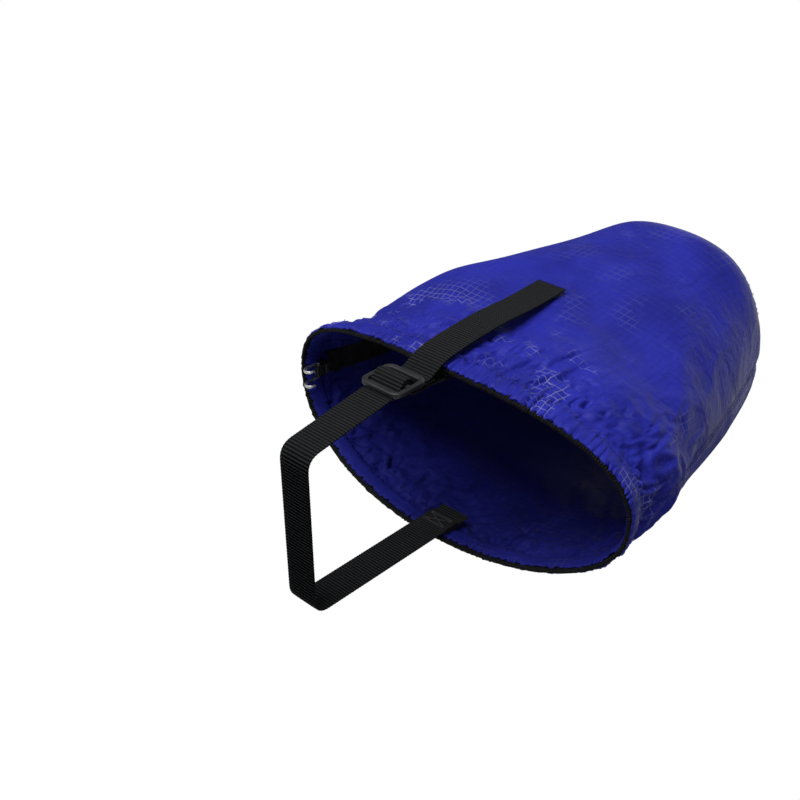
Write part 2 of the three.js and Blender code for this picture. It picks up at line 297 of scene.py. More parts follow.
def resampled(line, step):
    """The same line with evenly spaced points."""
    line = np.array(line, float)
    run = run_of(line)
    count = max(2, round(run[-1] / step))
    at = np.linspace(0, run[-1], count + 1)
    return np.stack([np.interp(at, run, line[:, k]) for k in range(line.shape[1])], axis=1), at


def softened(line, times):
    for _ in range(times):
        line[1:-1] = (line[:-2] + 2 * line[1:-1] + line[2:]) / 4
    return line


def webbing(name, line, body, material, settings, width=WEB_WIDTH, thickness=WEB_THICKNESS, plane="side"):
    """Ribbed webbing along a line in one plane: side is YZ with the width along X, front is XZ."""
    line, at = resampled(line, settings.rib_pitch / MM / 5)
    line = softened(line, 3)
    ahead = np.gradient(line, axis=0)
    ahead /= np.linalg.norm(ahead, axis=1, keepdims=True)
    normal = np.stack([-ahead[:, 1], ahead[:, 0]], axis=1)
    across = np.linspace(0, 2 * math.pi, 37)
    flat = 2 / 5.0
    wide = np.sign(np.cos(across)) * np.abs(np.cos(across)) ** flat * width / 2
    deep = np.sign(np.sin(across)) * np.abs(np.sin(across)) ** flat * thickness / 2
    rib = np.cos(2 * math.pi * at / (settings.rib_pitch / MM))
    swell = 1 - settings.rib_depth * (0.5 - 0.5 * rib)
    ribbed = np.clip((width / 2 - np.abs(wide)) / 0.9, 0, 1)
    edge = 1 - 0.018 * (0.5 - 0.5 * rib)
    points = np.zeros((len(at), len(across), 3))
    out = deep[None, :] * (1 + (swell[:, None] - 1) * ribbed[None, :])
    side = wide[None, :] * edge[:, None]
    wide_axis, deep_axis = (0, 1) if plane == "side" else (1, 0)
    points[..., wide_axis] = side
    points[..., deep_axis] = line[:, None, 0] + normal[:, None, 0] * out
    points[..., 2] = line[:, None, 1] + normal[:, None, 1] * out
    uv = np.zeros(points.shape[:2] + (2,))
    uv[..., 0] = np.broadcast_to(wide[None, :], uv.shape[:2])
    uv[..., 1] = at[:, None]
    return new_object(name, net(points, uv, cap=True), body, material)


def wire(name, path, radius, body, material, sides=16, step=0.3):
    """A round wire through given points, smoothed between them."""
    fine = catmull(np.array(path, float), 10)
    line, _ = resampled(fine, step)
    ahead = np.gradient(line, axis=0)
    ahead /= np.linalg.norm(ahead, axis=1, keepdims=True)
    side = Vector((0, 1, 0))
    if abs(Vector(ahead[0]).dot(side)) > 0.9:
        side = Vector((1, 0, 0))
    points = []
    for here, direction in zip(line, ahead):
        forward = Vector(direction)
        side = (side - forward * side.dot(forward)).normalized()
        other = forward.cross(side)
        ring = []
        for k in range(sides + 1):
            angle = 2 * math.pi * (k % sides) / sides
            ring.append(Vector(here) + radius * (math.cos(angle) * side + math.sin(angle) * other))
        points.append(ring)
    return new_object(name, net(np.array(points), cap=True), body, material)


def catmull(points, parts):
    """Points on a smooth curve through the given ones."""
    padded = np.concatenate([2 * points[:1] - points[1:2], points, 2 * points[-1:] - points[-2:-1]])
    curve = []
    for i in range(1, len(padded) - 2):
        a, b, c, d = padded[i - 1:i + 3]
        for k in range(parts):
            t = k / parts
            curve.append(0.5 * (2 * b + (c - a) * t + (2 * a - 5 * b + 4 * c - d) * t ** 2
                                + (3 * b - a - 3 * c + d) * t ** 3))
    curve.append(padded[-2])
    return np.array(curve)


def doubled(grid, closed):
    """Twice as many rows and columns, on smooth curves; closed grids wrap across."""
    def once(values, wrap):
        if wrap:
            before, after = values[-2:-1], values[1:2]
        else:
            before, after = 2 * values[:1] - values[1:2], 2 * values[-1:] - values[-2:-1]
        full = np.concatenate([before, values, after])
        middle = (9 * (full[1:-2] + full[2:-1]) - full[:-3] - full[3:]) / 16
        result = np.zeros((2 * len(values) - 1,) + values.shape[1:])
        result[0::2] = values
        result[1::2] = middle
        return result
    grid = once(grid, False)
    return np.swapaxes(once(np.swapaxes(grid, 0, 1), closed), 0, 1)


# ---------------------------------------------------------------- materials


class Number:
    """A number socket that takes Python's arithmetic."""

    def __init__(self, finish, socket):
        self.finish = finish
        self.socket = socket

    def _do(self, operation, first, second):
        node = self.finish.node("ShaderNodeMath", {"operation": operation}, {0: first, 1: second})
        return Number(self.finish, node.outputs[0])

    def __add__(self, other):
        return self._do("ADD", self, other)

    __radd__ = __add__

    def __sub__(self, other):
        return self._do("SUBTRACT", self, other)

    def __rsub__(self, other):
        return self._do("SUBTRACT", other, self)

    def __mul__(self, other):
        return self._do("MULTIPLY", self, other)

    __rmul__ = __mul__

    def high(self, other):
        return self._do("MAXIMUM", self, other)

    def pingpong(self, scale):
        return self._do("PINGPONG", self, scale)

    def sine(self):
        return self._do("SINE", self, 0.0)

    def soft_step(self, low, high):
        values = {"Value": self, "From Min": low, "From Max": high}
        node = self.finish.node("ShaderNodeMapRange", {"interpolation_type": "SMOOTHSTEP"}, values)
        return Number(self.finish, node.outputs["Result"])


class Finish:
    """One node material; node() adds any node, and mix() blends two colours."""

    def __init__(self, name):
        self.material = bpy.data.materials.new(name)
        self.material.use_nodes = True
        self.tree = self.material.node_tree
        self.tree.nodes.clear()
        self.output = self.node("ShaderNodeOutputMaterial")
        self.shader = self.node("ShaderNodeBsdfPrincipled")
        self.tree.links.new(self.shader.outputs[0], self.output.inputs["Surface"])

    def node(self, kind, settings=None, values=None):
        node = self.tree.nodes.new(kind)
        for key, value in (settings or {}).items():
            setattr(node, key, value)
        for key, value in (values or {}).items():
            self.put(node.inputs[key], value)
        return node

    def put(self, socket, value):
        if isinstance(value, Number):
            value = value.socket
        if isinstance(value, bpy.types.NodeSocket):
            self.tree.links.new(value, socket)
        else:
            socket.default_value = value

    def set(self, **values):
        for key, value in values.items():
            self.put(self.shader.inputs[key.replace("_", " ")], value)

    def uv(self):
        """The piece's own map, in metres, as two numbers."""
        node = self.node("ShaderNodeUVMap", {"uv_map": "cloth"})
        split = self.node("ShaderNodeSeparateXYZ", None, {0: node.outputs[0]})
        return Number(self, split.outputs[0]), Number(self, split.outputs[1])

    def speckle(self, scale, detail=2.0, roughness=0.5, distortion=0.0):
        place = self.node("ShaderNodeTexCoord")
        values = {"Vector": place.outputs["Object"], "Scale": scale, "Detail": detail,
                  "Roughness": roughness, "Distortion": distortion}
        return Number(self, self.node("ShaderNodeTexNoise", None, values).outputs[0])

    def mix(self, share, first, second):
        values = {"Factor": share, 6: first, 7: second}
        return self.node("ShaderNodeMix", {"data_type": "RGBA"}, values).outputs[2]

    def bump(self, height, distance):
        values = {"Height": height, "Distance": distance}
        self.put(self.shader.inputs["Normal"], self.node("ShaderNodeBump", None, values).outputs[0])


def shade(colour, factor):
    return tuple(min(1.0, part * factor) for part in colour[:3]) + (1.0,)


def mixed(first, second, share):
    return tuple(a * (1 - share) + b * share for a, b in zip(first, second))


def ripstop(name, colour, pitch, inside=False):
    """Coated nylon with a square grid of heavier threads; its mottle is partly painted sheen and shade, and
    the grid carries painted glints. The inner side is duller and darkened as painted shade.
    """
    finish = Finish(name)
    u, v = finish.uv()
    across = 1 - u.pingpong(pitch / 2).soft_step(0.00006, 0.00028)
    along = 1 - v.pingpong(pitch / 2).soft_step(0.00006, 0.00028)
    grid = across.high(along)
    ribs = 0.5 + 0.25 * (u * (2 * math.pi / 0.0005)).sine() + 0.25 * (v * (2 * math.pi / 0.0005)).sine()
    # random light and dark patches: partly the cloth's uneven tone, partly painted sheen and shade standing
    # in for satin sheen patches and folds
    mottle_and_painted_sheen = finish.speckle(38.0, 3.0, 0.6)
    patch = finish.speckle(46.0, 2.0, 0.5, 0.4)
    near_hem = 1 - v.soft_step(0.03, 0.062)
    # painted glint: grid threads lightened in patches, mostly near the hem, standing in for light catching
    # the crumpled cloth
    painted_glint = patch.soft_step(0.52, 0.62) * near_hem + 0.3 * patch.soft_step(0.5, 0.64)
    crumple = finish.speckle(150.0, 3.0, 0.55, 0.5)
    crease = finish.speckle(52.0, 3.0, 0.5, 1.6)
    # the inner side is darkened to about half: partly its duller coating, partly painted shade for the shaded
    # inside of the shell
    low, high = (0.4, 0.55) if inside else (0.8, 1.17)
    base = finish.mix(mottle_and_painted_sheen.soft_step(0.3, 0.7), shade(colour, low), shade(colour, high))
    base = finish.mix(ribs * 0.25, base, shade(colour, 0.5 * low))
    # dark is the heavier threads' own darker tone; pale is the colour of the painted glint on the grid
    # threads
    dark, pale = shade(colour, 0.6 * low), mixed(colour, (0.35, 0.36, 0.62, 1.0), 0.12 if inside else 0.55)
    base = finish.mix(grid * 0.3, base, dark)
    finish.set(Base_Color=finish.mix(grid * painted_glint * (0.25 if inside else 0.6), base, pale))
    finish.set(Roughness=(0.62 if inside else 0.46) + 0.1 * mottle_and_painted_sheen - 0.05 * grid)
    finish.set(Sheen_Weight=0.0, Specular_IOR_Level=0.08 if inside else 0.12)
    finish.bump(crumple * 0.5 + crease * 1.3 + grid * 0.07 + ribs * 0.02, 0.0011)
    return finish.material


def woven_tape(name, colour, pitch):
    """Black webbing or tape: floats that step across each rib, with painted shade in the grooves and a
    painted highlight on the crests.
    """
    finish = Finish(name)
    u, v = finish.uv()
    rib = (v * (2 * math.pi / pitch) + 0.5 * math.pi).sine()
    strand = ((u + 0.22 * v) * (2 * math.pi / (0.7 * pitch))).sine()
    fuzz = finish.speckle(900.0, 2.0)
    weave_relief_and_shade = rib * 0.38 + strand * 0.08 + 0.5
    # painted shade and highlight: the colour runs from far darker in the rib grooves to far lighter on the
    # crests, following the weave's relief
    base = finish.mix(weave_relief_and_shade.soft_step(0.25, 0.85), shade(colour, 0.2), shade(colour, 5.5))
    finish.set(Base_Color=finish.mix(fuzz * 0.3, base, shade(colour, 0.7)), Roughness=0.6 + 0.16 * fuzz)
    finish.set(Specular_IOR_Level=0.1)
    finish.bump(weave_relief_and_shade + fuzz * 0.2, 0.0003)
    return finish.material


def moulded(name, colour):
    """Moulded plastic with a fine spark-eroded grain and slightly rubbed high spots."""
    finish = Finish(name)
    grain = finish.speckle(3200.0, 2.0)
    rub = finish.speckle(260.0, 3.0, 0.65)
    base = finish.mix(rub.soft_step(0.45, 0.75), shade(colour, 0.9), shade(colour, 1.35))
    finish.set(Base_Color=base, Roughness=0.34 + 0.18 * rub)
    finish.set(Specular_IOR_Level=0.5)
    finish.bump(grain, 0.00004)
    return finish.material


def sewing_thread(name, colour):
    """Bonded thread with a twist."""
    finish = Finish(name)
    twist = finish.speckle(4200.0, 1.0)
    finish.set(Base_Color=finish.mix(twist, shade(colour, 0.7), shade(colour, 1.4)))
    finish.set(Roughness=0.45 + 0.2 * twist, Sheen_Weight=0.1)
    finish.bump(twist, 0.00008)
    return finish.material


def plated_wire(name):
    """Nickel-plated wire with faint drawing marks."""
    finish = Finish(name)
    marks = finish.speckle(900.0, 3.0)
    tarnish = finish.speckle(120.0, 2.0)
    base = finish.mix(tarnish, (0.55, 0.55, 0.54, 1), (0.72, 0.72, 0.71, 1))
    finish.set(Base_Color=base, Roughness=0.2 + 0.16 * marks, Metallic=1.0)
    finish.bump(marks, 0.00003)
    return finish.material


MADE = {}


def finishes(scene):
    """All the materials, made once."""
    if not MADE:
        cloth, webs, hard = scene.gaiter_cloth, scene.gaiter_webbing, scene.gaiter_hardware
        MADE.update(
            outer=ripstop("ripstop_outer", cloth.colour, cloth.grid_pitch),
            # inner: the shell's inner face, darkened as painted shade besides its duller coating
            inner=ripstop("ripstop_inner_painted_shade", cloth.colour, cloth.grid_pitch, inside=True),
            web=woven_tape("webbing_black", webs.colour, webs.rib_pitch),
            tape=woven_tape("seam_tape_black", webs.colour, 0.0007),
            # the elastic is black, and darkened further to 0.4 of the webbing's colour as painted shadow
            # under the cloth's edges
            elastic=woven_tape("elastic_black_painted_shadow", shade(webs.colour, 0.4), 0.0013),
            blue_thread=sewing_thread("thread_blue", shade(cloth.colour, 0.8)),
            black_thread=sewing_thread("thread_black", shade(webs.colour, 2.0)),
            plastic=moulded("slider_plastic", hard.plastic),
            steel=plated_wire("hook_steel"),
        )
    return MADE


# ---------------------------------------------------------------- cloth shell

SHEET = {}
SIM_COLUMNS = 432
SIM_ROWS = 46
SIM_FRAMES = 22


def slack_start(turns, heights, cloth):
    """The shell before it settles: the wall with folds at both gathered edges."""
    turn, height = np.meshgrid(turns, heights)
    points = wall_point(turn, height)
    out = wall_normal(turn, height)
    rough = np.zeros_like(turn)
    for i in range(turn.shape[0]):
        for j in range(turn.shape[1] - 1):
            x, y, z = points[i, j] * 0.03
            rough[i, j] = hum(x, y, z, 11)
            x, y, z = points[i, j] * 0.11
            rough[i, j] += (0.55 - 2.2 * abs(hum(x, y, z, 12))) * 0.8 * float(fade(height[i, j], 18, 48))
    rough[:, -1] = rough[:, 0]
    start = gathers(len(turns) - 1, heights, cloth) + 1.3 * rough * (1 - fade(height, 9, 15))
    return points + out * start[..., None]


def settle(points, heights, cloth):
    """Lets the slack cloth buckle between its two gathered edges."""
    bm = net(points, closed=True)
    spot = bm.verts.layers.int["spot"]
    order = [vert[spot] for vert in bm.verts]
    piece = new_object("settling", bm, None)
    columns = points.shape[1]
    pin = piece.vertex_groups.new(name="pin")
    loose = piece.vertex_groups.new(name="slack")
    for vert, k in enumerate(order):
        height = heights[k // columns]
        low = max(0.0, 1 - (height - CASING_HEIGHT) / 2.0)
        high = max(0.0, 1 - (WALL_HEIGHT - CASING_HEIGHT - height) / 2.0)
        pin.add([vert], min(1.0, max(low, high)), "REPLACE")
        gather = max(float(fade(height, 10, 46)), float(fade(WALL_HEIGHT - height, 10, 30)))
        loose.add([vert], gather, "REPLACE")
    modifier = piece.modifiers.new("cloth", "CLOTH")
    cloth_set = modifier.settings
    cloth_set.quality = 6
    cloth_set.mass = 0.15
    cloth_set.air_damping = 2.0
    cloth_set.tension_stiffness = 25
    cloth_set.compression_stiffness = 25
    cloth_set.shear_stiffness = 8
    cloth_set.bending_stiffness = 0.6
    cloth_set.vertex_group_mass = "pin"
    cloth_set.vertex_group_shrink = "slack"
    cloth_set.shrink_min = -0.006
    cloth_set.shrink_max = -cloth.slack
    cloth_set.use_pressure = True
    cloth_set.uniform_pressure_force = 0.7
    cloth_set.effector_weights.gravity = 0.0
    modifier.collision_settings.use_collision = False
    modifier.point_cache.frame_start = 1
    modifier.point_cache.frame_end = 2 * SIM_FRAMES
    scene = bpy.context.scene
    for number in range(1, SIM_FRAMES + 1):
        scene.frame_set(number)
    graph = bpy.context.evaluated_depsgraph_get()
    settled = piece.evaluated_get(graph).to_mesh()
    found = np.array([vert.co for vert in settled.vertices]) / MM
    bpy.data.objects.remove(piece, do_unlink=True)
    scene.frame_set(1)
    result = points.copy().reshape(-1, 3)
    for vert, k in enumerate(order):
        result[k] = found[vert]
    result = result.reshape(points.shape)
    result[:, -1] = result[:, 0]
    return result


def held_back(points, turns, heights):
    """Keeps the cloth near the wall, behind the loose strap, and outside the tapes and anchors."""
    turn, height = np.meshgrid(turns, heights)
    base = wall_point(turn, height)
    normal = wall_normal(turn, height)
    move = points - base
    out = (move * normal).sum(axis=-1)
    side = move - normal * out[..., None]
    limit, side_limit, tail_half, tail_end = 8.5, 4.0, 13.0, TAIL_TOP + 4.0
    squeezed = limit * np.tanh(out / limit)
    under_tail = np.exp(-(points[..., 0] / tail_half) ** 4) * (points[..., 1] > 0)
    under_tail *= np.clip((tail_end - points[..., 2]) / 10.0, 0, 1)
    ceiling = 0.3 + 6.6 * (1 - under_tail)
    squeezed = np.where(squeezed > 0, np.minimum(squeezed, ceiling + 0.15 * squeezed), squeezed * 0.8)
    slid = np.linalg.norm(side, axis=-1, keepdims=True) / side_limit
    side *= np.tanh(slid) / np.maximum(slid, 1e-6)
    return base + normal * squeezed[..., None] + side


def cloth_sheet(cloth):
    """The settled shell as a closed grid of points, brought to the casings' folds at both edges."""
    if SHEET:
        return SHEET
    turns = even_turns(SIM_COLUMNS)
    share = np.linspace(0, 1, SIM_ROWS + 1)
    share = 0.34 * share + 0.66 * share ** 2 * (1.5 - 0.5 * share ** 2)
    heights = CASING_HEIGHT * 1.02 + (WALL_HEIGHT - 2.04 * CASING_HEIGHT) * share
    points = slack_start(turns, heights, cloth)
    points = settle(points, heights, cloth)
    points = held_back(points, turns, heights)
    turn, height = np.meshgrid(turns, heights)
    points = points + wall_normal(turn, height) * billow(turn, height)[..., None]
    points = doubled(points, closed=True)
    turns = even_turns(2 * SIM_COLUMNS)
    fine_heights = np.interp(np.arange(len(points)) / 2, np.arange(len(heights)), heights)
    turn, height = np.meshgrid(turns, fine_heights)
    normal = wall_normal(turn, height)
    edge = np.maximum(fade(height, 9.2, 13.5), fade(WALL_HEIGHT - height, 9.2, 13.5))
    wanted = gathers(2 * SIM_COLUMNS, fine_heights[[0, -1]], cloth)
    half = len(fine_heights) // 2
    at_edge = np.concatenate([
        np.repeat(wanted[:1], half, 0), np.repeat(wanted[1:], len(fine_heights) - half, 0)])
    at_edge = wall_point(turn, height) + normal * (at_edge + 0.05 + billow(turn, height))[..., None]
    points = points * (1 - edge[..., None]) + at_edge * edge[..., None]
    points = points - normal * (0.9 * seam_dip(turn) * (1 - edge))[..., None]
    SHEET.update(points=points, turns=turns, heights=fine_heights)
    return SHEET


def seam_dip(turn):
    """1 on the front and rear seams, fading within a few millimetres."""
    aside = np.abs(np.sin(turn))
    return np.exp(-(aside / 0.035) ** 2)


def panel_uv(turns, heights):
    """Flat cloth coordinates in millimetres, with the grain straight up the panel's middle."""
    turn, height = np.meshgrid(turns, heights)
    flat = wall_point(turn, height)
    step = np.linalg.norm(np.diff(flat, axis=1), axis=-1)
    run = np.concatenate([np.zeros((step.shape[0], 1)), np.cumsum(step, axis=1)], axis=1)
    middle = len(turns) // 2
    run -= run[:, middle:middle + 1]
    up = run_of(flat[:, middle])
    return np.stack([run, np.broadcast_to(up[:, None], run.shape)], axis=-1)


def solid_cloth(piece, thickness):
    """Gives a sheet its thickness, with the second material inside."""
    modifier = piece.modifiers.new("thickness", "SOLIDIFY")
    modifier.thickness = thickness
    modifier.offset = -1.0
    modifier.material_offset = 1
    modifier.material_offset_rim = 0
    modifier.use_even_offset = False


def facing_out(piece, centre):
    """Turns a sheet's faces away from a point inside it."""
    bm = bmesh.new()
    bm.from_mesh(piece.data)
    total = sum((face.calc_center_median() - centre).dot(face.normal) * face.calc_area() for face in bm.faces)
    if total < 0:
        bmesh.ops.reverse_faces(bm, faces=bm.faces)
    bm.to_mesh(piece.data)
    bm.free()


class GAITER_OT_shell(bpy.types.Operator):
    """Gathered ripstop panels between the two edges"""

    bl_idname = "gaiter.shell"
    bl_label = "Cloth shell"

    def execute(self, context):
        cloth = context.scene.gaiter_cloth
        look = finishes(context.scene)
        sheet = cloth_sheet(cloth)
        half = SIM_COLUMNS
        inside = Vector((-5, 0, 170)) * MM
        for name, first in (("left", 0), ("right", half)):
            points = sheet["points"][:, first:first + half + 1]
            uv = panel_uv(sheet["turns"][first:first + half + 1], sheet["heights"])
            piece = new_object(f"cloth_{name}_panel", net(points, uv), "shell", look["outer"], look["inner"])
            facing_out(piece, inside)
            solid_cloth(piece, cloth.thickness)
            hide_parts(f"{name}_panel")
        return {"FINISHED"}


# ---------------------------------------------------------------- hems and elastics


def band(outline, turns, stand_off, lift):
    """A closed ring of points; the outline holds out, height, share of the folds and share of the lift."""
    rows = []
    for row, (out, height, share, raised) in enumerate(outline):
        h = np.full_like(turns, height) + lift[row % len(lift)] * raised
        off = out + stand_off[row % len(stand_off)] * share + billow(turns, h)
        rows.append(wall_point(turns, h) + wall_normal(turns, h) * off[:, None])
    rows.append(rows[0])
    return np.array(rows)


class GAITER_OT_hems(bpy.types.Operator):
    """Ruffled casings at the lower and upper edge"""

    bl_idname = "gaiter.hems"
    bl_label = "Edge casings"

    def execute(self, context):
        cloth = context.scene.gaiter_cloth
        look = finishes(context.scene)
        lower = [
            (0.1, -0.7, 0.8, 1.0), (0.65, 0.3, 1.0, 0.9), (1.0, 2.0, 1.0, 0.4), (1.1, 4.2, 1.0, 0.2),
            (1.05, 6.4, 1.0, 0.1), (0.85, 8.3, 1.0, 0.1), (0.45, 9.6, 1.0, 0.0), (0.1, 9.6, 1.0, 0.0),
            (0.5, 8.1, 1.0, 0.1), (0.7, 6.3, 1.0, 0.1), (0.75, 4.2, 1.0, 0.2), (0.65, 2.0, 1.0, 0.4),
            (0.3, 0.4, 1.0, 0.9),
        ]
        inner = [
            (-0.9, 9.4, 0.5, 0.0), (-2.0, 8.0, 0.4, 0.1), (-2.5, 5.0, 0.3, 0.2), (-2.4, 1.8, 0.4, 0.4),
            (-2.1, 0.1, 0.8, 0.9), (-1.75, 0.0, 0.8, 0.9), (-1.95, 1.8, 0.4, 0.4), (-2.05, 5.0, 0.3, 0.2),
            (-1.6, 7.8, 0.4, 0.1), (-0.7, 9.0, 0.5, 0.0),
        ]
        top = WALL_HEIGHT
        upper = [
            (0.45, top - 9.6, 1.0, 0.0), (0.8, top - 8.2, 1.0, 0.0), (1.05, top - 5.6, 1.0, 0.1),
            (1.05, top - 3.0, 1.0, 0.2), (0.6, top - 0.9, 1.0, 0.4), (-0.4, top - 0.3, 0.9, 0.5),
            (-1.7, top - 0.7, 0.8, 0.4), (-2.1, top - 1.9, 0.6, 0.2), (-1.8, top - 1.9, 0.6, 0.2),
            (-0.5, top - 0.8, 0.8, 0.5), (0.25, top - 1.4, 1.0, 0.4), (0.65, top - 3.2, 1.0, 0.2),
            (0.7, top - 5.5, 1.0, 0.1), (0.5, top - 8.0, 1.0, 0.0), (0.1, top - 9.5, 1.0, 0.0),
        ]
        self.ring("bottom_hem_outer", lower, cloth, look["outer"])
        piece = self.ring("bottom_hem_inner", inner, cloth, look["inner"])
        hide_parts("bottom_hem_casing")
        piece = self.ring("top_hem", upper, cloth, look["outer"])
        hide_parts("top_hem_casing")
        return {"FINISHED"}

    def ring(self, name, outline, cloth, material):
        count = 3 * SIM_COLUMNS
        turns = even_turns(count)
        heights = [height for _, height, _, _ in outline]
        stand_off = gathers(count, heights, cloth)
        lift = 0.75 * puckers(count, [0.0], cloth.ruffles, 21)
        lift += 0.45 * puckers(count, [0.0], cloth.ruffles // 3, 81)
        points = band(outline, turns, stand_off, -lift)
        run, rise = run_of(points[0]), run_of(points[:, 0])
        uv = np.stack(np.broadcast_arrays(run[None, :], rise[:, None]), axis=-1)
        piece = new_object(name, net(points, uv), "shell", material)
        return piece


class GAITER_OT_elastics(bpy.types.Operator):
    """Ribbed elastic bands inside the two edges"""

    bl_idname = "gaiter.elastics"
    bl_label = "Elastics"

    def execute(self, context):
        cloth = context.scene.gaiter_cloth
        look = finishes(context.scene)
        top = WALL_HEIGHT
        for name, node, low, high, near, far in (
            ("bottom_elastic_band", "bottom_elastic", -2.0, 6.3, -1.4, 0.2),
            ("top_elastic_band", "top_elastic", top - 8.0, top - 2.7, -1.9, 0.1),
        ):
            turns = even_turns(1400)
            rib = 0.12 * np.cos(np.arange(len(turns)) * math.pi / 2)
            middle = (low + high) / 2
            outline = [
                (far - 0.2, low, 0, 1), (far, low + 0.4, 1, 1), (far, middle, 1, 0),
                (far, high - 0.4, 1, 0), (far - 0.2, high, 0, 0), (near + 0.2, high, 0, 0),
                (near, high - 0.4, -1, 0), (near, middle, -1, 0), (near, low + 0.4, -1, 1),
                (near + 0.2, low, 0, 1),
            ]
            sway = 0.3 * puckers(len(turns) - 1, [low], cloth.ruffles // 2, 31)[0]
            points = band(outline, turns, [rib], [sway])
            run, rise = run_of(points[0]), run_of(points[:, 0])
            uv = np.stack(np.broadcast_arrays(rise[:, None], run[None, :]), axis=-1)
            piece = new_object(name, net(points, uv), "shell", look["elastic"])
            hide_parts(node)
        return {"FINISHED"}


# ---------------------------------------------------------------- seams and stitches


def stitch_row(name, places, body, material, length, radius):
    """Small rounded stitches: each place is a point, a direction along and the side that it lies on."""
    bm = bmesh.new()
    for point, along, up in places:
        along = Vector(along).normalized()
        up = Vector(up)
        up = (up - along * up.dot(along)).normalized()
        basis = Matrix((along, up.cross(along), up)).transposed().to_4x4()
        size = Matrix.Diagonal((length / 2 * MM, radius * MM, radius * MM, 1.0))
        spot = Matrix.Translation(Vector(point) * MM) @ basis @ size
        bmesh.ops.create_icosphere(bm, subdivisions=1, radius=1.0, matrix=spot)
    piece = new_object(name, bm, body, material)
    return piece


def rows_of(points):
    """Evenly spaced stitches along a line of points, with the line's own direction."""
    line, _ = resampled(points, STITCH_STEP)
    ahead = np.gradient(line, axis=0)
    return list(zip(line[:-1], ahead[:-1]))


class GAITER_OT_seams(bpy.types.Operator):
    """Taped seams inside, and the topstitching"""

    bl_idname = "gaiter.seams"
    bl_label = "Seams and topstitching"

    def execute(self, context):
        cloth = context.scene.gaiter_cloth
        look = finishes(context.scene)
        sheet = cloth_sheet(cloth)
        points, turns, heights = sheet["points"], sheet["turns"], sheet["heights"]
        half = SIM_COLUMNS
        for name, column, node in (("front", 0, "front_seam_tape"), ("rear", half, "rear_seam_tape")):
            self.tape(name, column, node, points, turns, heights, look)
            rows = []
            for offset in (-3, 3):
                at = (column + offset) % (2 * half)
                normal = wall_normal(np.full_like(heights, turns[at]), heights)
                line = points[4:-4, at] + normal[4:-4] * 0.12
                for spot, along in rows_of(line):
                    rows.append((spot, along, normal[len(normal) // 2]))
            stitch_row(f"{name}_seam_topstitch", rows, "shell", look["blue_thread"],
                       1.9, 0.2)
        self.hem_stitches(look, cloth)
        return {"FINISHED"}

    def tape(self, name, column, node, points, turns, heights, look):
        reach = 8
        last = len(turns) - 1
        columns = [(column + k) % last for k in range(-reach, reach + 1)]
        turn, height = np.meshgrid(turns[columns], heights[6:-6])
        normal = wall_normal(turn, height)
        normal = np.broadcast_to(normal[:, reach:reach + 1], normal.shape)
        middle = points[6:-6][:, columns]
        centre = middle[:, reach:reach + 1]
        half = TAPE_WIDTH / 2
        aside = np.linspace(-half, half, 2 * reach + 1)[None, :, None] * np.array([0.0, 1.0, 0.0])
        direction = 1.0 if name == "front" else -1.0
        out = ((middle - centre) * normal).sum(axis=-1)
        settled = centre + aside * direction + normal * np.minimum(out, 0.0)[..., None]
        face = settled - normal * 0.75
        back = settled - normal * 1.1
        loop = np.concatenate([face, back[:, ::-1], face[:, :1]], axis=1)
        across = np.linspace(0, 2 * TAPE_WIDTH, loop.shape[1])
        uv = np.stack(np.broadcast_arrays(across[None, :], run_of(centre[:, 0])[:, None]), axis=-1)
        piece = new_object(f"{name}_tape", net(loop, uv, cap=True), "shell", look["tape"])
        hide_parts(node)

    def hem_stitches(self, look, cloth):
        count = 3 * SIM_COLUMNS
        fine = even_turns(count)
        for name, height in (("lower", CASING_SEAM), ("upper", WALL_HEIGHT - CASING_SEAM)):
            line = wall_point(fine, np.full_like(fine, height))
            normal = wall_normal(fine, np.full_like(fine, height))
            out = 1.15 + gathers(count, [height], cloth)[0] + billow(fine, height)
            lifted = line + normal * out[:, None]
            run = run_of(lifted)
            rows = []
            for at in np.arange(0, run[-1] - 1, STITCH_STEP):
                k = int(np.searchsorted(run, at))
                rows.append((lifted[k], lifted[(k + 2) % count] - lifted[k - 2], normal[k]))
            stitch_row(f"{name}_hem_stitches", rows, "shell", look["blue_thread"],
                       1.8, 0.17)


# ---------------------------------------------------------------- webbing


def slider_point(u, v):
    """A point in the slider's own directions: u out from the middle bar, v up the strap."""
    return (SLIDER_Y + u, SLIDER_Z + v)


BESIDE = -(SLIDER_DEPTH / 2 + GAP + WEB_THICKNESS / 2)
LACE_RADIUS = BAR_RADIUS + 2 * GAP + 1.5 * WEB_THICKNESS - 0.05
LOOP_RADIUS = BAR_RADIUS + GAP + WEB_THICKNESS / 2
SLOT_EDGE = SLIDER_LENGTH / 2 - SLIDER_END
LACE_END = SLIDER_LENGTH / 2 + 1.0


def arc(radius, start, end, steps):
    angles = np.linspace(start, end, steps + 1)
    return [slider_point(radius * math.cos(a), radius * math.sin(a)) for a in angles]


def touch(u, v, radius, sign):
    return math.atan2(v, u) + sign * math.acos(radius / math.hypot(u, v))


def lace_line():
    turn_in = SLOT_EDGE - 0.1
    start = touch(BESIDE, -turn_in, LACE_RADIUS, 1)
    return [slider_point(BESIDE, -LACE_END), slider_point(BESIDE, -turn_in),
            *arc(LACE_RADIUS, start, -start, 16),
            slider_point(BESIDE, turn_in), slider_point(BESIDE, LACE_END)]


def tab_line():
    outer = BESIDE - WEB_THICKNESS - GAP
    inner = outer - WEB_THICKNESS - GAP
    start = touch(inner, 4, LOOP_RADIUS, 1)
    end = touch(outer, 5, LOOP_RADIUS, -1) + 2 * math.pi
    return [(LAP_Y, LAP_TOP), (LAP_Y, HEM_SIDE - 1), (SLIDER_Y + inner, HEM_SIDE - 10),
            slider_point(inner, 4), *arc(LOOP_RADIUS, start, end, 24),
            slider_point(outer, 5), slider_point(outer, 17)]


